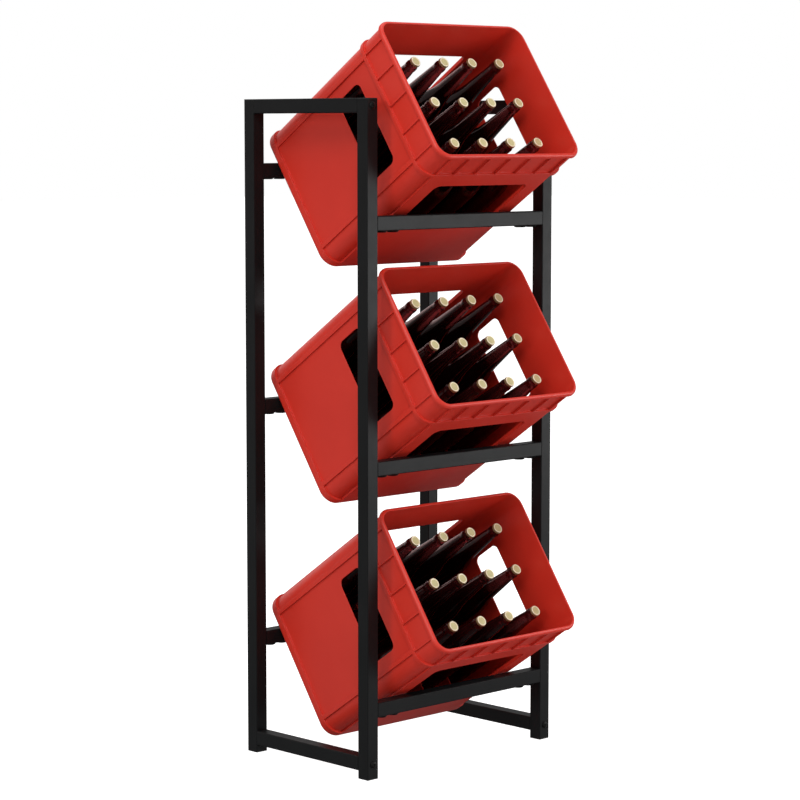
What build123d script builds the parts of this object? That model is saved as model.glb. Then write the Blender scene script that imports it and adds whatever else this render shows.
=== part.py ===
"""Drinks crate rack: a bolted square-tube rack with three tilted bottle crates.

Millimetres, +Z up. X runs along the crossbars, -Y is the side the bottles are taken from,
and the origin is the middle of the rack's footprint on the floor.
"""

import os
from math import atan, cos, degrees, pi, radians, sin

from build123d import *

os.makedirs("parts", exist_ok=True)

# Rack
RACK_WIDTH = 459
RACK_DEPTH = 312
RACK_HEIGHT = 1161
TUBE = 25
TUBE_WALL = 1.5
TUBE_CHAMFER = 1.2
RAIL_LIFT = 14
FIRST_BAR_LIFT = 106.5
TIER_PITCH = 416
REAR_BAR_RISE = 86
TIERS = ("lower", "middle", "upper")

# Rack fittings
PLUG_HEAD = 2
PLUG_DEPTH = 6
PLUG_FIT = 0.1
STUB_LENGTH = 60
STUB_WIDTH = 20
STUB_HEIGHT = 18
BOLT_DIAMETER = 6
BOLT_HEAD_DIAMETER = 12.5
BOLT_HEAD_HEIGHT = 3.2
BOLT_FIT = 0.2
NUT_LENGTH = 16
NUT_ENGAGEMENT = 12

# Crate, in its own frame: X along the length, Y to the upper wall, Z from base to mouth
CRATE_LENGTH = 353
CRATE_DEPTH = 277
CRATE_HEIGHT = 346
CRATE_TILT = 55.9
CRATE_CORNER = 28.5
CRATE_WALL = 2.2
CRATE_FLOOR = 4
LIP_HEIGHT = 7.5
LIP_CHAMFER = 3.5
RECESS = 3.8
RIB_WIDTH = 3
BAND_HEIGHT = 47
HOOP_HEIGHT = 7
BASE_BAND = 17
LONG_RIB_PITCH = 50
LONG_RIB_COUNT = 5
LONG_RIB_END = 142
SHORT_RIB_PITCH = 55
SHORT_RIB_COUNT = 3
SHORT_RIB_END = 106
STRIP_WIDTH = 7.5
LONG_STRIP = 142.7
SHORT_STRIP = 104.3
HANDLE_LENGTH = 160
HANDLE_HEIGHT = 61.5
HANDLE_TOP = 97.5
HANDLE_RADIUS = 12
WINDOW_LENGTH = 227
WINDOW_HEIGHT = 114
WINDOW_TOP = 88.5
WINDOW_CHAMFER = 9
SEAT_GAP = 0.3

# Bottles and the plates between them
BOTTLE_COLUMNS = 5
BOTTLE_ROWS = 3
BOTTLE_GAP = 19.7
COLUMN_PLAY = 6.1
ROW_PLAY = 23.7
ROW_SHIFT = 6
BODY_HEIGHT = 160
SHOULDER_HEIGHT = 41
SHOULDER_DIAMETER = 33
NECK_HEIGHT = 89.5
NECK_DIAMETER = 19.4
CAP_DIAMETER = 20.4
CAP_TOP_DIAMETER = 18.5
CAP_HEIGHT = 5
DIVIDER_HEIGHT = 60
DIVIDER_THICKNESS = 2.5
DIVIDER_FIT = 0.2

# Sides of the prisms that stand for the many round pieces
ROUND_SIDES = 8
BOLT_SIDES = 6

# Worked out from the sizes above
TUBE_BORE = TUBE - 2 * TUBE_WALL
POST_X = (RACK_WIDTH - TUBE) / 2
POST_Y = (RACK_DEPTH - TUBE) / 2
BAY_WIDTH = RACK_WIDTH - 2 * TUBE
BAY_DEPTH = RACK_DEPTH - 2 * TUBE
RAIL_HEIGHTS = {"bottom": RAIL_LIFT + TUBE / 2, "top": RACK_HEIGHT - TUBE / 2}
SIDES = {"left": -1, "right": 1}
FACES = {"front": -1, "rear": 1}
WALL_INSET = RECESS + CRATE_WALL
LIP_LOW = CRATE_HEIGHT - LIP_HEIGHT
BAND_LOW = LIP_LOW - BAND_HEIGHT
HOOP_LOW = BAND_LOW - HOOP_HEIGHT
MOUTH_LENGTH = CRATE_LENGTH - 2 * WALL_INSET
MOUTH_DEPTH = CRATE_DEPTH - 2 * WALL_INSET
ROW_LENGTH = MOUTH_LENGTH - 2 * COLUMN_PLAY
BOTTLE_DIAMETER = (ROW_LENGTH - (BOTTLE_COLUMNS - 1) * BOTTLE_GAP) / BOTTLE_COLUMNS
COLUMN_PITCH = BOTTLE_DIAMETER + BOTTLE_GAP
ROW_PITCH = (MOUTH_DEPTH - 2 * ROW_PLAY - BOTTLE_DIAMETER) / (BOTTLE_ROWS - 1)
BOTTLE_HEIGHT = BODY_HEIGHT + SHOULDER_HEIGHT + NECK_HEIGHT
LONG_PLATE = MOUTH_LENGTH - 2 * DIVIDER_FIT
SHORT_PLATE = MOUTH_DEPTH - 2 * DIVIDER_FIT
SLOT_WIDTH = DIVIDER_THICKNESS + 2 * DIVIDER_FIT
SLOT_DEPTH = DIVIDER_HEIGHT / 2 + DIVIDER_FIT


def save(name, shape):
    """Label one piece and write its file."""
    shape.label = name
    export_step(shape, f"parts/{name}.step")


def bar_underside(tier, face):
    """Height of a crossbar's underside."""
    rise = REAR_BAR_RISE if face == "rear" else 0
    return FIRST_BAR_LIFT + tier * TIER_PITCH + rise


def tube_section():
    """Section of the square tube, for the sketch that is open."""
    Rectangle(TUBE, TUBE)
    chamfer(vertices(), TUBE_CHAMFER)
    Rectangle(TUBE_BORE, TUBE_BORE, mode=Mode.SUBTRACT)


def frustum(low, high, base, height):
    """A many-sided frustum on the Z axis, from one diameter to another."""
    narrowing = (low - high) / 2 * cos(pi / ROUND_SIDES)
    with BuildPart() as piece:
        with BuildSketch(Plane.XY.offset(base)):
            RegularPolygon(low / 2, ROUND_SIDES)
        extrude(amount=height, taper=degrees(atan(narrowing / height)))
    return piece.part


def crate_outline(inset, mode=Mode.ADD):
    """The crate's rounded outline, set in from its walls."""
    RectangleRounded(CRATE_LENGTH - 2 * inset, CRATE_DEPTH - 2 * inset, CRATE_CORNER - inset, mode=mode)


def recess_ring(long_places, short_places, width):
    """A ring as deep as the recess round the crate, broken by bars at places along its walls."""
    crate_outline(-RECESS)
    crate_outline(RECESS, Mode.SUBTRACT)
    with Locations(*[(place, 0) for place in long_places]):
        Rectangle(width, 2 * CRATE_DEPTH, mode=Mode.SUBTRACT)
    with Locations(*[(0, place) for place in short_places]):
        Rectangle(2 * CRATE_LENGTH, width, mode=Mode.SUBTRACT)


def rib_places(pitch, count, end):
    """Rib places: a run at the pitch about the middle, and one at each end."""
    places = [pitch * (step - (count - 1) / 2) for step in range(count)]
    return [-end, *places, end]


def crate_place(tier):
    """Where a crate sits: its lower wall on the front bar and its base on the rear bar."""
    tilt = radians(CRATE_TILT)
    across = Vector(0, cos(tilt), sin(tilt))
    outward = Vector(0, -sin(tilt), cos(tilt))
    relief = TUBE_CHAMFER * min(cos(tilt), sin(tilt))
    front_edge = Vector(0, TUBE - RACK_DEPTH / 2, bar_underside(tier, "front") + TUBE)
    rear_edge = Vector(0, RACK_DEPTH / 2 - TUBE, bar_underside(tier, "rear") + TUBE)
    up = across.dot(front_edge) - relief + SEAT_GAP + CRATE_DEPTH / 2
    out = outward.dot(rear_edge) - relief + SEAT_GAP
    return Location(Plane(origin=across * up + outward * out, x_dir=(1, 0, 0), z_dir=outward))


# Posts, with clear holes for the bolts
with BuildPart() as post:
    with BuildSketch(Plane.XY.offset(PLUG_HEAD)):
        tube_section()
    extrude(amount=RACK_HEIGHT - 2 * PLUG_HEAD)
    with BuildSketch(Plane.XZ):
        with Locations(*[(0, height) for height in RAIL_HEIGHTS.values()]):
            RegularPolygon(BOLT_DIAMETER / 2 + BOLT_FIT, BOLT_SIDES)
    extrude(amount=TUBE, both=True, mode=Mode.SUBTRACT)

for side, x_sign in SIDES.items():
    for face, y_sign in FACES.items():
        save(f"{side}_{face}_post", post.part.moved(Location((x_sign * POST_X, y_sign * POST_Y, 0))))

# Side rails between the posts, at the floor and at the top
with BuildPart() as rail:
    with BuildSketch(Plane.XZ):
        tube_section()
    extrude(amount=BAY_DEPTH / 2, both=True)

for side, x_sign in SIDES.items():
    for level, height in RAIL_HEIGHTS.items():
        save(f"{side}_{level}_rail", rail.part.moved(Location((x_sign * POST_X, 0, height))))

# Crossbars, flush with the posts at the front and at the rear
with BuildPart() as crossbar:
    with BuildSketch(Plane.YZ):
        tube_section()
    extrude(amount=BAY_WIDTH / 2, both=True)

for tier, tier_name in enumerate(TIERS):
    for face, y_sign in FACES.items():
        place = Location((0, y_sign * POST_Y, bar_underside(tier, face) + TUBE / 2))
        save(f"{tier_name}_{face}_crossbar", crossbar.part.moved(place))

# Welded stubs on the posts, which the crossbars slide over and are screwed to from below
for side, x_sign in SIDES.items():
    for face, y_sign in FACES.items():
        stub_x = x_sign * (BAY_WIDTH - STUB_LENGTH) / 2
        with BuildPart() as stubs:
            for tier in range(len(TIERS)):
                stub_z = bar_underside(tier, face) + TUBE_WALL + STUB_HEIGHT / 2
                with Locations((stub_x, y_sign * POST_Y, stub_z)):
                    Box(STUB_LENGTH, STUB_WIDTH, STUB_HEIGHT)
        save(f"{side}_{face}_stubs", stubs.part)

# Nuts pressed into the rail ends, drawn with the rail's end on the XZ plane
with BuildPart() as rail_nut:
    with BuildSketch(Plane.XZ):
        Rectangle(TUBE_BORE - 2 * PLUG_FIT, TUBE_BORE - 2 * PLUG_FIT)
        RegularPolygon(BOLT_DIAMETER / 2 + BOLT_FIT, BOLT_SIDES, mode=Mode.SUBTRACT)
    extrude(amount=-NUT_LENGTH)

# Bolts through the posts into those nuts, drawn with the head's seat on the XZ plane
with BuildPart() as bolt:
    with BuildSketch(Plane.XZ):
        RegularPolygon(BOLT_HEAD_DIAMETER / 2, BOLT_SIDES)
    extrude(amount=BOLT_HEAD_HEIGHT)
    with BuildSketch(Plane.XZ):
        RegularPolygon(BOLT_DIAMETER / 2, BOLT_SIDES)
    extrude(amount=-(TUBE + NUT_ENGAGEMENT))

for piece, source, offset in (("rail_nuts", rail_nut, BAY_DEPTH / 2), ("post_bolts", bolt, RACK_DEPTH / 2)):
    with BuildPart() as group:
        for x_sign in SIDES.values():
            for turn in (0, 180):
                for height in RAIL_HEIGHTS.values():
                    with Locations(Rot(0, 0, turn) * Pos(x_sign * POST_X, -offset, height)):
                        add(source.part)
    save(piece, group.part)

# Plugs that close the posts at the top and stand on the floor at the bottom
with BuildPart() as plug:
    with BuildSketch():
        Rectangle(TUBE, TUBE)
        chamfer(vertices(), TUBE_CHAMFER)
    extrude(amount=PLUG_HEAD)
    with BuildSketch(Plane.XY.offset(PLUG_HEAD)):
        Rectangle(TUBE_BORE - 2 * PLUG_FIT, TUBE_BORE - 2 * PLUG_FIT)
    extrude(amount=PLUG_DEPTH)

for piece, turn in (("foot_plugs", Location()), ("top_plugs", Pos(0, 0, RACK_HEIGHT) * Rot(180, 0, 0))):
    with BuildPart() as group:
        with GridLocations(2 * POST_X, 2 * POST_Y, 2, 2):
            with Locations(turn):
                add(plug.part)
    save(piece, group.part)

# One crate, standing on its base
with BuildPart() as crate:
    with BuildSketch():
        crate_outline(0)
    extrude(amount=CRATE_HEIGHT)
    chamfer(crate.edges().group_by(Axis.Z)[-1], LIP_CHAMFER)
    # The band under the lip is recessed between ribs, and the walls between strips beside the corners
    with BuildSketch(Plane.XY.offset(BAND_LOW)):
        long_ribs = rib_places(LONG_RIB_PITCH, LONG_RIB_COUNT, LONG_RIB_END)
        short_ribs = rib_places(SHORT_RIB_PITCH, SHORT_RIB_COUNT, SHORT_RIB_END)
        recess_ring(long_ribs, short_ribs, RIB_WIDTH)
    extrude(amount=BAND_HEIGHT, mode=Mode.SUBTRACT)
    with BuildSketch(Plane.XY.offset(BASE_BAND)):
        recess_ring((-LONG_STRIP, LONG_STRIP), (-SHORT_STRIP, SHORT_STRIP), STRIP_WIDTH)
    extrude(amount=HOOP_LOW - BASE_BAND, mode=Mode.SUBTRACT)
    with BuildSketch(Plane.XY.offset(CRATE_FLOOR)):
        crate_outline(WALL_INSET)
    extrude(amount=CRATE_HEIGHT, mode=Mode.SUBTRACT)
    # Hand holes through the short walls and windows through the long ones
    with BuildSketch(Plane.YZ):
        with Locations((0, CRATE_HEIGHT - HANDLE_TOP - HANDLE_HEIGHT / 2)):
            RectangleRounded(HANDLE_LENGTH, HANDLE_HEIGHT, HANDLE_RADIUS)
    extrude(amount=CRATE_LENGTH, both=True, mode=Mode.SUBTRACT)
    with BuildSketch(Plane.XZ):
        with Locations((0, CRATE_HEIGHT - WINDOW_TOP - WINDOW_HEIGHT / 2)):
            Rectangle(WINDOW_LENGTH, WINDOW_HEIGHT)
        chamfer(vertices(), WINDOW_CHAMFER)
    extrude(amount=CRATE_DEPTH, both=True, mode=Mode.SUBTRACT)

# Plates that part the bottles: long ones slotted from above, short ones from below
with BuildPart() as long_plate:
    with BuildSketch(Plane.XZ):
        Rectangle(LONG_PLATE, DIVIDER_HEIGHT, align=(Align.CENTER, Align.MIN))
        with Locations((0, DIVIDER_HEIGHT)):
            with GridLocations(COLUMN_PITCH, 0, BOTTLE_COLUMNS - 1, 1):
                Rectangle(SLOT_WIDTH, 2 * SLOT_DEPTH, mode=Mode.SUBTRACT)
    extrude(amount=DIVIDER_THICKNESS / 2, both=True)

with BuildPart() as short_plate:
    with BuildSketch(Plane.YZ):
        Rectangle(SHORT_PLATE, DIVIDER_HEIGHT, align=(Align.CENTER, Align.MIN))
        with Locations((ROW_SHIFT, 0)):
            with GridLocations(ROW_PITCH, 0, BOTTLE_ROWS - 1, 1):
                Rectangle(SLOT_WIDTH, 2 * SLOT_DEPTH, mode=Mode.SUBTRACT)
    extrude(amount=DIVIDER_THICKNESS / 2, both=True)

with BuildPart() as long_plates:
    with Locations((0, ROW_SHIFT, CRATE_FLOOR)):
        with GridLocations(0, ROW_PITCH, 1, BOTTLE_ROWS - 1):
            add(long_plate.part)

with BuildPart() as short_plates:
    with Locations((0, 0, CRATE_FLOOR)):
        with GridLocations(COLUMN_PITCH, 0, BOTTLE_COLUMNS - 1, 1):
            add(short_plate.part)

# One bottle and its crown cap
with BuildPart() as bottle:
    add(frustum(BOTTLE_DIAMETER, BOTTLE_DIAMETER, CRATE_FLOOR, BODY_HEIGHT))
    add(frustum(BOTTLE_DIAMETER, SHOULDER_DIAMETER, CRATE_FLOOR + BODY_HEIGHT, SHOULDER_HEIGHT))
    add(frustum(SHOULDER_DIAMETER, NECK_DIAMETER, CRATE_FLOOR + BODY_HEIGHT + SHOULDER_HEIGHT, NECK_HEIGHT))

with BuildPart() as cap:
    add(frustum(CAP_DIAMETER, CAP_TOP_DIAMETER, CRATE_FLOOR + BOTTLE_HEIGHT, CAP_HEIGHT))

loads = {"crate": crate.part, "long_dividers": long_plates.part, "short_dividers": short_plates.part}
for piece, source in (("bottles", bottle), ("caps", cap)):
    with BuildPart() as group:
        with Locations((0, ROW_SHIFT)):
            with GridLocations(COLUMN_PITCH, ROW_PITCH, BOTTLE_COLUMNS, BOTTLE_ROWS):
                add(source.part)
    loads[piece] = group.part

for tier, tier_name in enumerate(TIERS):
    for piece, shape in loads.items():
        save(f"{tier_name}_{piece}", shape.moved(crate_place(tier)))
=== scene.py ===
"""Looks of the drinks crate rack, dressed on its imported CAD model.

Metres, +Z up, in the CAD's own frame: X runs along the crossbars, -Y is the side the bottles are
taken from. A crate, its bottles and its caps are drawn in the crate's own frame, base down and
mouth up, and then set where the crossbars carry the crate.
"""

from math import cos, pi, radians, sin, tau

import bmesh
import bpy
from mathutils import Matrix, Vector


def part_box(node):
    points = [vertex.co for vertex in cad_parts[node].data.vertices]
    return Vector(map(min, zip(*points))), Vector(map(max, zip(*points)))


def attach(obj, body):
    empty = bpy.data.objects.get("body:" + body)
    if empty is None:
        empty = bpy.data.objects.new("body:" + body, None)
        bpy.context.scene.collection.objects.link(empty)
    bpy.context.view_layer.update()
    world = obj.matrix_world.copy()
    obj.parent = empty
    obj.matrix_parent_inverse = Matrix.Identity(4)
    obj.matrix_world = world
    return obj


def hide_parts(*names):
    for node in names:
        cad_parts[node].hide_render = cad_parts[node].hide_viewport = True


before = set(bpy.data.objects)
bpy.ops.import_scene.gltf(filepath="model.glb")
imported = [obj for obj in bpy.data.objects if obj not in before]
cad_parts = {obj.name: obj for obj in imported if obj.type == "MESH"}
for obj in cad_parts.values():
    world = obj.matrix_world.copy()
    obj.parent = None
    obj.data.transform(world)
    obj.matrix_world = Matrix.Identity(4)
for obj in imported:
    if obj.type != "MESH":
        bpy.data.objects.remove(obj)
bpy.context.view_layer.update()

MM = 0.001

# Camera, fitted to the photograph
CAMERA_PLACE = (-3.25152, -3.31695, 1.10648)
CAMERA_YAW = 0.77548
CAMERA_PITCH = 0.10285
CAMERA_LENS = 117.451
CAMERA_SENSOR = 36

# Rack
TIERS = ("lower", "middle", "upper")
FACES = {"front": -1, "rear": 1}
TUBE_CHAMFER = 1.2 * MM
TUBE_ROUNDING = 0.5 * MM

# Button-head bolts through the posts
BOLT_RADIUS = 3 * MM
BOLT_LENGTH = 37 * MM
BOLT_HEAD_RADIUS = 6.2 * MM
BOLT_HEAD_HEIGHT = 3.2 * MM
BOLT_HEAD_EDGE = 0.5 * MM
BOLT_DOME_CURVE = 0.8
BOLT_SOCKET = 2.3 * MM
BOLT_SOCKET_RIM = 1.35 * BOLT_SOCKET
BOLT_SOCKET_DEPTH = 1.7 * MM

# Flat-head screws under the crossbar ends: distances from the post, and the head's section as
# radius and height in millimetres, from its seat to the flat round its socket
SCREW_PLACES = (18 * MM, 46 * MM)
SCREW_PROFILE = (
    (11.4, 0.0),
    (11.0, 0.8),
    (9.5, 2.7),
    (9.0, 3.1),
    (8.5, 3.2),
    (5.04, 3.2),
)
SCREW_SOCKET = 3.6 * MM
SCREW_SOCKET_DEPTH = 2 * MM

# Crate
CRATE_LENGTH = 353 * MM
CRATE_DEPTH = 277 * MM
CRATE_HEIGHT = 346 * MM
CRATE_TILT = radians(55.9)
CRATE_CORNER = 28.5 * MM
CRATE_WALL = 2.2 * MM
CRATE_FLOOR = 4 * MM
LIP_HEIGHT = 7.5 * MM
LIP_ROUND = 5 * MM
RECESS = 3.8 * MM
RIB_WIDTH = 3 * MM
BAND_HEIGHT = 47 * MM
HOOP_HEIGHT = 7 * MM
BASE_BAND = 17 * MM
LONG_RIBS = [place * MM for place in (-142, -100, -50, 0, 50, 100, 142)]
SHORT_RIBS = [place * MM for place in (-106, -55, 0, 55, 106)]
STRIP_WIDTH = 7.5 * MM
SHORT_STRIP = 104.3 * MM
PANEL_LENGTH = 292.9 * MM
HANDLE_LENGTH = 160 * MM
HANDLE_HEIGHT = 61.5 * MM
HANDLE_TOP = 97.5 * MM
WINDOW_LENGTH = 227 * MM
WINDOW_HEIGHT = 114 * MM
WINDOW_TOP = 88.5 * MM
HOLE_RADIUS = 12 * MM
SEAT_GAP = 0.3 * MM
BASE_ROUND = 7 * MM
FLOOR_ROUND = 3 * MM
EDGE_ROUND = 0.38 * MM

# Pockets moulded into the crate's underside
POCKET_COLUMNS = 5
POCKET_ROWS = 4
POCKET_MARGIN = 14 * MM
POCKET_GAP = 5 * MM
POCKET_RADIUS = 6 * MM
POCKET_DEPTH = 1.5 * MM

# Bottles and crown caps, with sections as radius and height in millimetres
BOTTLE_COLUMNS = 5
BOTTLE_ROWS = 3
COLUMN_PITCH = 69.7 * MM
ROW_PITCH = 83.8 * MM
ROW_SHIFT = 6 * MM
BOTTLE_HEIGHT = 290.5 * MM
BOTTLE_DIMPLE = 3 * MM
BOTTLE_PROFILE = (
    (14.5, 1.2),
    (20.4, 0.0),
    (23.4, 0.8),
    (24.8, 3.6),
    (25.0, 8.0),
    (25.0, 60.0),
    (25.0, 110.0),
    (25.0, 150.0),
    (24.8, 160.0),
    (24.1, 167.0),
    (22.7, 175.0),
    (20.9, 183.0),
    (19.0, 190.0),
    (17.4, 196.5),
    (16.3, 203.0),
    (15.1, 214.0),
    (13.4, 236.0),
    (12.1, 252.0),
    (11.0, 266.0),
    (10.3, 273.0),
    (10.1, 275.4),
    (10.6, 276.4),
    (10.8, 278.0),
    (10.8, 283.0),
    (10.5, 284.4),
    (9.8, 285.4),
    (9.5, 287.0),
    (9.3, 289.8),
    (8.6, 290.5),
)
CLEARNESS = "clearness"
CAP_FLUTES = 21
CAP_STEPS = 6 * CAP_FLUTES
CAP_FLUTE_DEPTH = 0.38
CAP_FLUTE_SINK = 0.1
CAP_FLUTE_TOP = 3.8
CAP_FLUTE_RADIUS = 9.6
CAP_CENTRE = (
    (6.2, 4.2),
    (7.0, 4.35),
)
CAP_RIM = (
    (7.0, 4.35),
    (7.5, 4.7),
    (7.9, 4.92),
    (8.3, 5.0),
    (8.9, 4.8),
    (9.4, 4.25),
)
CAP_SKIRT = (
    (9.4, 4.25),
    (9.65, 3.5),
    (9.8, 2.5),
    (9.9, 1.0),
    (9.95, 0.2),
    (9.7, 0.0),
    (9.35, 0.4),
    (9.35, 3.2),
)

# Fineness of the meshes
TURNED_STEPS = 48
CORNER_STEPS = 14
ROUND_STEPS = 5
BEVEL_SEGMENTS = 2
BEVEL_ANGLE = radians(28)
SHARP_ANGLE = radians(30)
BOTTLE_SHARP_ANGLE = radians(60)
CAP_SHARP_ANGLE = radians(50)
FLAT_ANGLE = radians(1)
MERGE_DISTANCE = 1e-6
DEGENERATE_LENGTH = 1e-7
WELD_DISTANCE = 1e-5

# Worked out from the sizes above
CRATE_TURN = Matrix.Rotation(CRATE_TILT, 3, "X")
WALL_INSET = RECESS + CRATE_WALL
LIP_LOW = CRATE_HEIGHT - LIP_HEIGHT
BAND_LOW = LIP_LOW - BAND_HEIGHT
HOOP_LOW = BAND_LOW - HOOP_HEIGHT


# Meshes


def add_object(name, mesh):
    """A new object in the scene."""
    piece = bpy.data.objects.new(name, mesh)
    bpy.context.scene.collection.objects.link(piece)
    return piece


def finish_mesh(name, sketch, sharp_angle=SHARP_ANGLE):
    """A mesh from a bmesh: doubles merged, normals outward, edges sharp past the angle."""
    bmesh.ops.remove_doubles(sketch, verts=sketch.verts, dist=MERGE_DISTANCE)
    bmesh.ops.dissolve_degenerate(sketch, edges=sketch.edges, dist=DEGENERATE_LENGTH)
    bmesh.ops.recalc_face_normals(sketch, faces=sketch.faces)
    mesh = bpy.data.meshes.new(name)
    sketch.to_mesh(mesh)
    sketch.free()
    mesh.shade_smooth()
    mesh.set_sharp_from_angle(angle=sharp_angle)
    return mesh


def skin(sketch, loops, cap_first=False, cap_last=False, slot=0):
    """Rings of points joined by faces, from closed loops of equal count, with the ends filled if asked."""
    rings = [[sketch.verts.new(place) for place in loop] for loop in loops]
    count = len(rings[0])
    for low, high in zip(rings, rings[1:]):
        for step in range(count):
            following = (step + 1) % count
            face = sketch.faces.new((low[step], low[following], high[following], high[step]))
            face.material_index = slot
    if cap_first:
        sketch.faces.new(list(reversed(rings[0]))).material_index = slot
    if cap_last:
        sketch.faces.new(rings[-1]).material_index = slot
    return rings


def circle(radius, height, steps, centre=Vector()):
    """Points of a level circle."""
    turns = [tau * step / steps for step in range(steps)]
    return [centre + Vector((radius * cos(turn), radius * sin(turn), height)) for turn in turns]


def hexagon(radius, height, steps):
    """Points of a level hexagon, spread so that they face the same turns as a circle's."""
    points = []
    for step in range(steps):
        turn = tau * step / steps
        reach = radius * cos(pi / 6) / cos(turn % (pi / 3) - pi / 6)
        points.append(Vector((reach * cos(turn), reach * sin(turn), height)))
    return points


def rounded_rectangle(length, width, radius, steps):
    """Corner points of a rounded rectangle round the origin."""
    points = []
    for quarter in range(4):
        x_sign = (1, -1, -1, 1)[quarter]
        y_sign = (1, 1, -1, -1)[quarter]
        centre = Vector((x_sign * (length / 2 - radius), y_sign * (width / 2 - radius), 0))
        for step in range(steps + 1):
            turn = (quarter + step / steps) * pi / 2
            points.append(centre + Vector((radius * cos(turn), radius * sin(turn), 0)))
    return points


def prism(name, sections):
    """A solid made of extruded outlines: each is its points, a matrix, and its low and high level."""
    sketch = bmesh.new()
    for points, matrix, low, high in sections:
        loops = [[matrix @ (point + Vector((0, 0, level))) for point in points] for level in (low, high)]
        skin(sketch, loops, cap_first=True, cap_last=True)
    return add_object(name, finish_mesh(name, sketch))


def applied(piece, name):
    """The piece's mesh with its modifiers applied; the piece itself goes."""
    bpy.context.view_layer.update()
    seen = piece.evaluated_get(bpy.context.evaluated_depsgraph_get())
    mesh = bpy.data.meshes.new_from_object(seen)
    mesh.name = name
    bpy.data.objects.remove(piece)
    return mesh


def round_edges(piece, width):
    """Rounds a piece's sharp edges and keeps its flats flat."""
    bevel = piece.modifiers.new("rounding", "BEVEL")
    bevel.width = width
    bevel.segments = BEVEL_SEGMENTS
    bevel.limit_method = "ANGLE"
    bevel.angle_limit = BEVEL_ANGLE
    bevel.miter_outer = "MITER_ARC"
    normals = piece.modifiers.new("flats", "WEIGHTED_NORMAL")
    normals.keep_sharp = True


# Crate


def crate_perimeter():
    """Points round the crate's outline: the place, its outward direction and what stands proud there."""
    points = []
    sides = ((0, -1), (1, 0), (0, 1), (-1, 0))
    for side, (nx, ny) in enumerate(sides):
        normal = Vector((nx, ny, 0))
        along = Vector((-ny, nx, 0))
        long_side = side % 2 == 0
        reach = (CRATE_DEPTH if long_side else CRATE_LENGTH) / 2
        run = (CRATE_LENGTH if long_side else CRATE_DEPTH) / 2 - CRATE_CORNER
        ribs = [(place, RIB_WIDTH, "rib") for place in (LONG_RIBS if long_side else SHORT_RIBS)]
        strips = [(0, PANEL_LENGTH, "strip")]
        if not long_side:
            strips = [(sign * SHORT_STRIP, STRIP_WIDTH, "strip") for sign in (-1, 1)]
        edges = {}
        for place, width, kind in ribs + strips:
            edges.setdefault(place - width / 2, []).append((kind, True))
            edges.setdefault(place + width / 2, []).append((kind, False))
        proud = set()
        for edge in sorted(edges):
            place = normal * reach + along * edge
            points.append((place, normal, frozenset(proud)))
            for kind, begins in edges[edge]:
                proud = proud | {kind} if begins else proud - {kind}
            points.append((place, normal, frozenset(proud)))
        centre = normal * (reach - CRATE_CORNER) + along * run
        for step in range(CORNER_STEPS + 1):
            turn = step / CORNER_STEPS * pi / 2
            direction = normal * cos(turn) + along * sin(turn)
            points.append((centre + direction * CRATE_CORNER, direction, frozenset()))
    return points


def quarter_round(inset, height, radius, first):
    """Rows of a quarter circle in the wall's section, round a centre, from a first direction."""
    rows = []
    for step in range(ROUND_STEPS + 1):
        turn = first + step / ROUND_STEPS * pi / 2
        rows.append((height + radius * sin(turn), inset - radius * cos(turn), None))
    return rows


def crate_rows():
    """Section of the crate's wall from the base's edge over the lip to the floor.

    A row is its height, its inset, and what stands proud of that inset, if anything does.
    """
    rows = sorted(quarter_round(BASE_ROUND, BASE_ROUND, BASE_ROUND, -pi / 2))
    rows += [
        (BASE_BAND, 0, None),
        (BASE_BAND, RECESS, "strip"),
        (HOOP_LOW, RECESS, "strip"),
        (HOOP_LOW, 0, None),
        (BAND_LOW, 0, None),
        (BAND_LOW, RECESS, "rib"),
        (LIP_LOW, RECESS, "rib"),
        (LIP_LOW, 0, None),
    ]
    rows += quarter_round(LIP_ROUND, CRATE_HEIGHT - LIP_ROUND, LIP_ROUND, 0)
    rows.append((CRATE_HEIGHT, WALL_INSET, None))
    floor = quarter_round(WALL_INSET + FLOOR_ROUND, CRATE_FLOOR + FLOOR_ROUND, FLOOR_ROUND, -pi / 2)
    rows += sorted(floor, reverse=True)
    return rows


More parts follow.
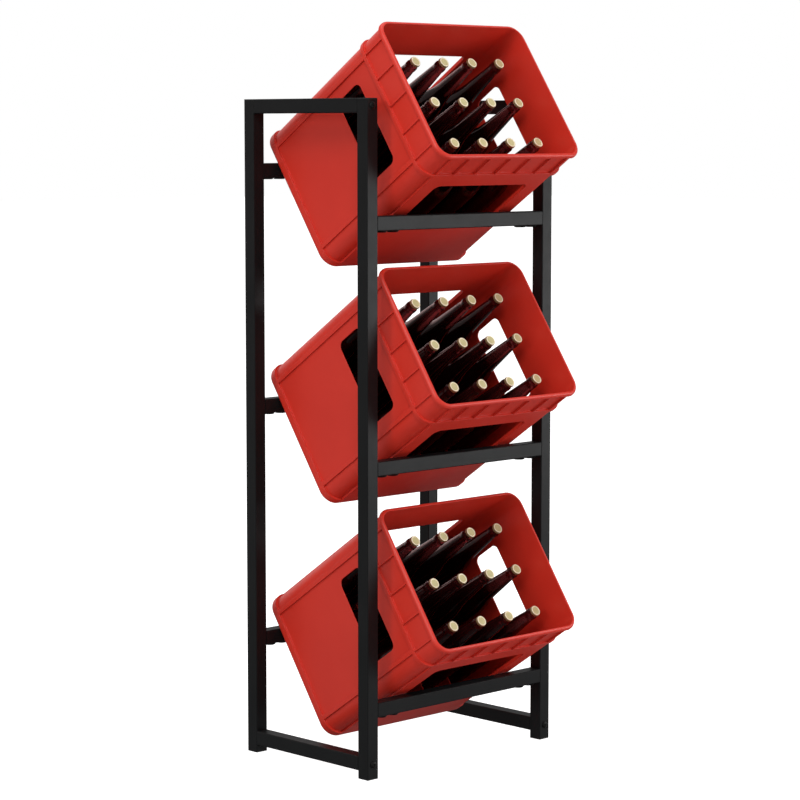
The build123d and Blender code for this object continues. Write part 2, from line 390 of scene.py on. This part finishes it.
def crate_mesh():
    """One crate: a ribbed shell with its holes cut, pockets under its base, and edges rounded."""
    points = crate_perimeter()
    loops = []
    for height, inset, raised in crate_rows():
        loop = []
        for place, normal, proud in points:
            depth = 0 if raised in proud else inset
            loop.append(place - normal * depth + Vector((0, 0, height)))
        loops.append(loop)
    sketch = bmesh.new()
    skin(sketch, loops, cap_first=True, cap_last=True)
    shell = add_object("crate_shell", finish_mesh("crate_shell", sketch))

    def standing(height, turn):
        """Outlines drawn level are stood up at a height and turned to face a wall."""
        upright = Matrix(((0, 0, 1, 0), (1, 0, 0, 0), (0, 1, 0, 0), (0, 0, 0, 1)))
        return Matrix.Translation((0, 0, height)) @ Matrix.Rotation(turn, 4, "Z") @ upright

    handle = rounded_rectangle(HANDLE_LENGTH, HANDLE_HEIGHT, HOLE_RADIUS, ROUND_STEPS * 2)
    window = rounded_rectangle(WINDOW_LENGTH, WINDOW_HEIGHT, HOLE_RADIUS, ROUND_STEPS * 2)
    handle_middle = CRATE_HEIGHT - HANDLE_TOP - HANDLE_HEIGHT / 2
    window_middle = CRATE_HEIGHT - WINDOW_TOP - WINDOW_HEIGHT / 2
    pocket_length = (CRATE_LENGTH - 2 * POCKET_MARGIN + POCKET_GAP) / POCKET_COLUMNS - POCKET_GAP
    pocket_width = (CRATE_DEPTH - 2 * POCKET_MARGIN + POCKET_GAP) / POCKET_ROWS - POCKET_GAP
    pocket = rounded_rectangle(pocket_length, pocket_width, POCKET_RADIUS, ROUND_STEPS)
    pockets = []
    for column in range(POCKET_COLUMNS):
        for row in range(POCKET_ROWS):
            x = (column - (POCKET_COLUMNS - 1) / 2) * (pocket_length + POCKET_GAP)
            y = (row - (POCKET_ROWS - 1) / 2) * (pocket_width + POCKET_GAP)
            pockets.append((pocket, Matrix.Translation((x, y, 0)), -POCKET_DEPTH, POCKET_DEPTH))
    cutters = [
        prism("handle_cut", [(handle, standing(handle_middle, 0), -CRATE_LENGTH, CRATE_LENGTH)]),
        prism("window_cut", [(window, standing(window_middle, pi / 2), -CRATE_LENGTH, CRATE_LENGTH)]),
        prism("pocket_cut", pockets),
    ]
    for cutter in cutters:
        cut = shell.modifiers.new(cutter.name, "BOOLEAN")
        cut.operation = "DIFFERENCE"
        cut.solver = "EXACT"
        cut.object = cutter
    round_edges(shell, EDGE_ROUND)
    mesh = applied(shell, "crate_shell")
    for cutter in cutters:
        bpy.data.objects.remove(cutter)
    return mesh


def crate_origin(tier):
    """Middle of a crate's base, with its lower wall on the front bar and its base on the rear bar."""
    across = CRATE_TURN @ Vector((0, 1, 0))
    outward = CRATE_TURN @ Vector((0, 0, 1))
    relief = TUBE_CHAMFER * min(cos(CRATE_TILT), sin(CRATE_TILT))
    front_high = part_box(f"{tier}_front_crossbar")[1]
    rear_low, rear_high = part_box(f"{tier}_rear_crossbar")
    up = across.dot(Vector((0, front_high.y, front_high.z))) - relief + SEAT_GAP + CRATE_DEPTH / 2
    out = outward.dot(Vector((0, rear_low.y, rear_high.z))) - relief + SEAT_GAP
    return across * up + outward * out


# Bottles, caps and fasteners


def bottle_places():
    """Middles of the bottles' feet on the crate's floor."""
    places = []
    for column in range(BOTTLE_COLUMNS):
        for row in range(BOTTLE_ROWS):
            x = (column - (BOTTLE_COLUMNS - 1) / 2) * COLUMN_PITCH
            y = (row - (BOTTLE_ROWS - 1) / 2) * ROW_PITCH + ROW_SHIFT
            places.append(Vector((x, y, CRATE_FLOOR)))
    return places


def bottles_mesh():
    """A crate's bottles, each turned from one section."""
    sketch = bmesh.new()
    for foot in bottle_places():
        loops = [circle(radius * MM, height * MM, TURNED_STEPS, foot) for radius, height in BOTTLE_PROFILE]
        rim = skin(sketch, loops, cap_last=True)[0]
        hub = sketch.verts.new(foot + Vector((0, 0, BOTTLE_DIMPLE)))
        for step in range(TURNED_STEPS):
            sketch.faces.new((hub, rim[(step + 1) % TURNED_STEPS], rim[step]))
    mesh = finish_mesh("bottles", sketch, BOTTLE_SHARP_ANGLE)
    clearness = mesh.attributes.new(CLEARNESS, "FLOAT", "POINT")
    for vertex, value in zip(mesh.vertices, clearness.data):
        value.value = (vertex.co.z - CRATE_FLOOR) / BOTTLE_HEIGHT
    return mesh


def fluted(radius, height, centre):
    """Points of a cap's level outline, waved more towards the skirt's edge."""
    fade = max(0, 1 - height / CAP_FLUTE_TOP) if radius > CAP_FLUTE_RADIUS else 0
    points = []
    for step in range(CAP_STEPS):
        turn = tau * step / CAP_STEPS
        reach = (radius + CAP_FLUTE_DEPTH * fade * (cos(CAP_FLUTES * turn) - CAP_FLUTE_SINK)) * MM
        points.append(centre + Vector((reach * cos(turn), reach * sin(turn), height * MM)))
    return points


def caps_mesh():
    """A crate's crown caps: the dished centre, the rim and the fluted skirt, each in its own slot."""
    sketch = bmesh.new()
    for foot in bottle_places():
        seat = foot + Vector((0, 0, BOTTLE_HEIGHT))
        for slot, rows in enumerate((CAP_CENTRE, CAP_RIM, CAP_SKIRT)):
            loops = [fluted(radius, height, seat) for radius, height in rows]
            skin(sketch, loops, cap_first=slot == 0, cap_last=slot == 2, slot=slot)
    return finish_mesh("crown_caps", sketch, CAP_SHARP_ANGLE)


def socket_head(sketch, matrix, profile, socket, depth, shank):
    """A round head with a hexagon socket, from any shank over its seat and outside to the socket."""
    top = profile[-1][1]
    loops = [circle(radius, height, TURNED_STEPS) for radius, height in shank + profile]
    loops.append(hexagon(socket, top, TURNED_STEPS))
    loops.append(hexagon(socket, top - depth, TURNED_STEPS))
    loops = [[matrix @ point for point in loop] for loop in loops]
    skin(sketch, loops, cap_first=True, cap_last=True)


def bolts_mesh():
    """Bolts with domed heads, one through a post into each end of each side rail."""
    dome = [(BOLT_HEAD_RADIUS, 0.0), (BOLT_HEAD_RADIUS, BOLT_HEAD_EDGE)]
    for step in range(1, ROUND_STEPS + 2):
        turn = step / (ROUND_STEPS + 2) * pi / 2
        rise = (BOLT_HEAD_HEIGHT - BOLT_HEAD_EDGE) * sin(turn) ** BOLT_DOME_CURVE
        dome.append((BOLT_HEAD_RADIUS * cos(turn), BOLT_HEAD_EDGE + rise))
    dome.append((BOLT_SOCKET_RIM, BOLT_HEAD_HEIGHT))
    shank = [(BOLT_RADIUS, -BOLT_LENGTH), (BOLT_RADIUS, 0.0)]
    sketch = bmesh.new()
    for side in ("left", "right"):
        for face, y_sign in FACES.items():
            post_low, post_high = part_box(f"{side}_{face}_post")
            for level in ("bottom", "top"):
                rail_low, rail_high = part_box(f"{side}_{level}_rail")
                seat = Vector(
                    (
                        (post_low.x + post_high.x) / 2,
                        post_high.y if y_sign > 0 else post_low.y,
                        (rail_low.z + rail_high.z) / 2,
                    )
                )
                matrix = Matrix.Translation(seat) @ Matrix.Rotation(-y_sign * pi / 2, 4, "X")
                socket_head(sketch, matrix, dome, BOLT_SOCKET, BOLT_SOCKET_DEPTH, shank)
    return finish_mesh("post_bolt_heads", sketch)


def screws_mesh():
    """Flat-head screws under the crossbar ends."""
    head = [(radius * MM, height * MM) for radius, height in SCREW_PROFILE]
    sketch = bmesh.new()
    for tier in TIERS:
        for face in FACES:
            low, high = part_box(f"{tier}_{face}_crossbar")
            for place in SCREW_PLACES:
                for x in (low.x + place, high.x - place):
                    seat = Vector((x, (low.y + high.y) / 2, low.z))
                    matrix = Matrix.Translation(seat) @ Matrix.Rotation(pi, 4, "X")
                    socket_head(sketch, matrix, head, SCREW_SOCKET, SCREW_SOCKET_DEPTH, [])
    return finish_mesh("crossbar_screws", sketch)


# Materials


class Surface:
    """A material on the Principled shader, with helpers for its procedural detail."""

    def __init__(self, name, **sockets):
        self.material = bpy.data.materials.new(name)
        self.material.use_nodes = True
        self.nodes = self.material.node_tree.nodes
        self.links = self.material.node_tree.links
        self.shader = self.nodes["Principled BSDF"]
        for socket, value in sockets.items():
            self.shader.inputs[socket.replace("_", " ")].default_value = value
        self.place = self.nodes.new("ShaderNodeTexCoord").outputs["Object"]

    def noise(self, scale, detail=3):
        """Noise over the piece's own coordinates, by its scale for each metre."""
        texture = self.nodes.new("ShaderNodeTexNoise")
        texture.inputs["Scale"].default_value = scale
        texture.inputs["Detail"].default_value = detail
        self.links.new(self.place, texture.inputs["Vector"])
        return texture.outputs["Fac"]

    def ramp(self, source, stops):
        """A colour ramp over a source, from pairs of position and colour."""
        ramp = self.nodes.new("ShaderNodeValToRGB")
        elements = ramp.color_ramp.elements
        while len(elements) < len(stops):
            elements.new(0.5)
        for element, (position, colour) in zip(elements, stops):
            element.position = position
            element.color = (*colour, 1)
        self.links.new(source, ramp.inputs["Fac"])
        return ramp.outputs["Color"]

    def colour(self, source, stops):
        """Base colour from a ramp over a source."""
        self.links.new(self.ramp(source, stops), self.shader.inputs["Base Color"])

    def roughness(self, source, low, high):
        """Roughness between two values, from a source."""
        span = self.nodes.new("ShaderNodeMapRange")
        span.inputs["To Min"].default_value = low
        span.inputs["To Max"].default_value = high
        self.links.new(source, span.inputs["Value"])
        self.links.new(span.outputs["Result"], self.shader.inputs["Roughness"])

    def bump(self, source, strength, distance):
        """A bump from a source, laid over any bump that is there."""
        bump = self.nodes.new("ShaderNodeBump")
        bump.inputs["Strength"].default_value = strength
        bump.inputs["Distance"].default_value = distance
        self.links.new(source, bump.inputs["Height"])
        normal = self.shader.inputs["Normal"]
        if normal.is_linked:
            self.links.new(normal.links[0].from_socket, bump.inputs["Normal"])
        self.links.new(bump.outputs["Normal"], normal)


def frame_paint():
    """Black powder coat with a fine orange peel."""
    surface = Surface("frame_paint", Specular_IOR_Level=0.17)
    surface.colour(surface.noise(9), [(0.3, (0.005, 0.0055, 0.0058)), (0.7, (0.0075, 0.008, 0.0083))])
    surface.roughness(surface.noise(60), 0.36, 0.46)
    surface.bump(surface.noise(900, 2), 0.14, 0.15 * MM)
    surface.bump(surface.noise(240, 2), 0.08, 0.3 * MM)
    return surface.material


def black_plastic():
    """Moulded black plastic of the post plugs."""
    surface = Surface("black_plastic", IOR=1.48)
    surface.colour(surface.noise(30), [(0.3, (0.010, 0.010, 0.010)), (0.7, (0.017, 0.017, 0.017))])
    surface.roughness(surface.noise(80), 0.5, 0.66)
    surface.bump(surface.noise(1400, 2), 0.2, 0.1 * MM)
    return surface.material


def black_steel():
    """Blackened steel of the bolts and screws."""
    surface = Surface("black_steel", Metallic=0.4, Specular_IOR_Level=0.2)
    surface.colour(surface.noise(300), [(0.3, (0.006, 0.006, 0.006)), (0.7, (0.014, 0.014, 0.013))])
    surface.roughness(surface.noise(500), 0.3, 0.46)
    surface.bump(surface.noise(2200, 2), 0.12, 0.05 * MM)
    return surface.material


def zinc_steel():
    """Zinc-plated steel of the nuts and stubs inside the tubes."""
    surface = Surface("zinc_steel", Metallic=1.0)
    surface.colour(surface.noise(120), [(0.3, (0.45, 0.46, 0.47)), (0.7, (0.58, 0.58, 0.57))])
    surface.roughness(surface.noise(300), 0.34, 0.5)
    surface.bump(surface.noise(1500, 2), 0.1, 0.05 * MM)
    return surface.material


def crate_plastic():
    """Red moulded polyethylene: faint flow mottling and a fine satin grain."""
    surface = Surface("crate_plastic", IOR=1.5, Specular_IOR_Level=0.42)
    surface.colour(
        surface.noise(7, 4),
        [(0.25, (0.58, 0.024, 0.012)), (0.55, (0.62, 0.028, 0.014)), (0.8, (0.66, 0.032, 0.017))],
    )
    surface.roughness(surface.noise(40), 0.36, 0.48)
    surface.bump(surface.noise(1100, 2), 0.10, 0.12 * MM)
    surface.bump(surface.noise(45, 2), 0.05, 0.6 * MM)
    return surface.material


def bottle_glass():
    """Dark brown glass, nearly black where a bottle is full and wide, clearer up the neck."""
    surface = Surface("bottle_glass", IOR=1.5, Transmission_Weight=0.88, Specular_Tint=(1, 0.7, 0.68, 1))
    height = surface.nodes.new("ShaderNodeAttribute")
    height.attribute_name = CLEARNESS
    surface.colour(
        height.outputs["Fac"],
        [(0.66, (0.016, 0.002, 0.002)), (0.8, (0.045, 0.007, 0.007)), (0.9, (0.118, 0.017, 0.018))],
    )
    surface.roughness(surface.noise(90), 0.1, 0.14)
    surface.bump(surface.noise(40, 2), 0.02, 0.3 * MM)
    return surface.material


def cap_lacquer(name, dark, light, metallic):
    """Lacquered steel of a crown cap, slightly mottled."""
    surface = Surface(name, Metallic=metallic, Coat_Weight=0.3, Coat_Roughness=0.2)
    surface.colour(surface.noise(90), [(0.3, dark), (0.7, light)])
    surface.roughness(surface.noise(300), 0.3, 0.42)
    surface.bump(surface.noise(1800, 2), 0.08, 0.05 * MM)
    return surface.material


def floor_paper():
    """White studio paper, which shows as white wherever it is seen."""
    surface = Surface("floor_paper", Specular_IOR_Level=0, Emission_Color=(1, 1, 1, 1))
    surface.colour(surface.noise(0.8), [(0.3, (0.56, 0.56, 0.56)), (0.7, (0.6, 0.6, 0.6))])
    surface.roughness(surface.noise(3), 0.8, 0.9)
    light_path = surface.nodes.new("ShaderNodeLightPath")
    surface.links.new(light_path.outputs["Is Camera Ray"], surface.shader.inputs["Emission Strength"])
    return surface.material


def paint(piece, *materials):
    """Gives a piece its materials in slot order, in place of any that it came with."""
    slots = piece.data.materials
    for index, material in enumerate(materials):
        if index < len(slots):
            slots[index] = material
        else:
            slots.append(material)


# The rack's own nodes stay, with rounded edges and their finishes

frame_finish = frame_paint()
plug_finish = black_plastic()
steel_finish = black_steel()
inner_finish = zinc_steel()
crate_finish = crate_plastic()
glass_finish = bottle_glass()
cap_finishes = (
    cap_lacquer("cap_centre", (0.54, 0.48, 0.235), (0.61, 0.545, 0.285), 0.0),
    # The rim's lighter colours are a painted highlight on the caps' lacquer.
    cap_lacquer("cap_rim_painted_highlight", (0.84, 0.76, 0.53), (0.9, 0.82, 0.6), 0.0),
    # The skirt's darker colours are its gold metal, darkened further as painted shade.
    cap_lacquer("cap_skirt_painted_shade", (0.31, 0.21, 0.09), (0.4, 0.275, 0.13), 0.5),
)

NODE_FINISHES = {
    "post": frame_finish,
    "rail": frame_finish,
    "crossbar": frame_finish,
    "stubs": inner_finish,
    "nuts": inner_finish,
    "plugs": plug_finish,
    "dividers": crate_finish,
}
for name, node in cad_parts.items():
    finish = NODE_FINISHES.get(name.rsplit("_", 1)[-1])
    if finish is None:
        continue
    paint(node, finish)
    weld = node.modifiers.new("weld", "WELD")
    weld.merge_threshold = WELD_DISTANCE
    flats = node.modifiers.new("plane_faces", "DECIMATE")
    flats.decimate_type = "DISSOLVE"
    flats.angle_limit = FLAT_ANGLE
    round_edges(node, TUBE_ROUNDING)

# Pieces that stand for the other nodes

shells = crate_mesh()
bottles = bottles_mesh()
caps = caps_mesh()
for mesh in (shells, bottles, caps):
    mesh.transform(CRATE_TURN.to_4x4())
for tier in TIERS:
    origin = crate_origin(tier)
    for name, mesh, finishes, body, node, slot in (
        ("crate_shell", shells, (crate_finish,), "crate_body", "crate", "crate_plastic"),
        ("bottle_set", bottles, (glass_finish,), "bottle_load", "bottles", "bottle_glass"),
        ("crown_caps", caps, cap_finishes, "bottle_load", "caps", "crown_cap"),
    ):
        piece = add_object(f"{tier}_{name}", mesh)
        paint(piece, *finishes)
        piece.location = origin
        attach(piece, f"{tier}_{body}")
        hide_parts(f"{tier}_{node}")

bolts = add_object("post_bolt_heads", bolts_mesh())
paint(bolts, steel_finish)
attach(bolts, "rack")
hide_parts("post_bolts")

screws = add_object("crossbar_screws", screws_mesh())
paint(screws, steel_finish)
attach(screws, "rack")

# Studio

FLOOR_SIZE = 60
FLOOR_PARTS = 8
REAR_CARD_COLOUR = (1, 0.66, 0.64)
FRONT_AMBIENT = 0.72
REAR_AMBIENT = 0.2
GLOSSY_AMBIENT = 0.34
GLOSSY_BELOW = 0.08
GLOSSY_FADE_LOW = -0.7
GLOSSY_FADE_HIGH = -0.2

floor_sketch = bmesh.new()
bmesh.ops.create_grid(floor_sketch, x_segments=FLOOR_PARTS, y_segments=FLOOR_PARTS, size=FLOOR_SIZE / 2)
floor = add_object("floor", finish_mesh("floor", floor_sketch))
paint(floor, floor_paper())
floor.visible_glossy = False


def soft_light(name, place, target, width, height, power):
    """A rectangular area light at a place, facing a target."""
    lamp = bpy.data.lights.new(name, "AREA")
    lamp.shape = "RECTANGLE"
    lamp.size = width
    lamp.size_y = height
    lamp.energy = power
    light = add_object(name, lamp)
    light.visible_camera = False
    light.location = place
    light.rotation_euler = (Vector(target) - Vector(place)).to_track_quat("-Z", "Y").to_euler()
    return light


soft_light("key", place=(-3, -2.5, 4.3), target=(0, 0, 0.7), width=2.2, height=2.2, power=112)
soft_light("side", place=(-5, -0.25, 2.05), target=(0, 0, 0.7), width=1, height=1, power=44)
soft_light("front_sheen", place=(2.4, -2.6, 0.62), target=(0, -0.1, 0.62), width=2, height=0.8, power=35)
rear_card = soft_light("rear_card", place=(0.4, 4, 1.9), target=(0.2, 0, 0.9), width=4, height=2.6, power=32)
rear_card.visible_diffuse = False
rear_card.data.color = REAR_CARD_COLOUR
soft_light("top_fill", place=(0.4, 0.6, 4.6), target=(0, 0, 0.6), width=3.4, height=3.4, power=54)

# The surroundings are white where they are seen, dimmer in reflections and dimmest below the
# horizon there, and light the rack's front more than its rear
world = bpy.data.worlds.new("studio")
world.use_nodes = True
nodes = world.node_tree.nodes
links = world.node_tree.links
backdrop = nodes["Background"]
backdrop.inputs["Color"].default_value = (1, 1, 1, 1)
light_path = nodes.new("ShaderNodeLightPath")
direction = nodes.new("ShaderNodeSeparateXYZ")
links.new(nodes.new("ShaderNodeTexCoord").outputs["Generated"], direction.inputs["Vector"])


def graded(source, start, end, low, high):
    """A value that goes from low to high while its source goes from start to end."""
    span = nodes.new("ShaderNodeMapRange")
    links.new(source, span.inputs["Value"])
    for socket, value in (("From Min", start), ("From Max", end), ("To Min", low), ("To Max", high)):
        span.inputs[socket].default_value = value
    return span.outputs["Result"]


lighting = nodes.new("ShaderNodeMix")
lighting.inputs["A"].default_value = 1
links.new(light_path.outputs["Is Diffuse Ray"], lighting.inputs["Factor"])
links.new(graded(direction.outputs["Y"], -1, 1, FRONT_AMBIENT, REAR_AMBIENT), lighting.inputs["B"])
strength = nodes.new("ShaderNodeMix")
glossy = graded(direction.outputs["Z"], GLOSSY_FADE_LOW, GLOSSY_FADE_HIGH, GLOSSY_BELOW, GLOSSY_AMBIENT)
links.new(glossy, strength.inputs["B"])
links.new(light_path.outputs["Is Glossy Ray"], strength.inputs["Factor"])
links.new(lighting.outputs["Result"], strength.inputs["A"])
links.new(strength.outputs["Result"], backdrop.inputs["Strength"])
bpy.context.scene.world = world
bpy.context.scene.view_settings.view_transform = "Standard"

camera_data = bpy.data.cameras.new("camera")
camera_data.lens = CAMERA_LENS
camera_data.sensor_width = CAMERA_SENSOR
camera = add_object("camera", camera_data)
camera.location = CAMERA_PLACE
camera.rotation_euler = (pi / 2 - CAMERA_PITCH, 0, -CAMERA_YAW)
bpy.context.scene.camera = camera
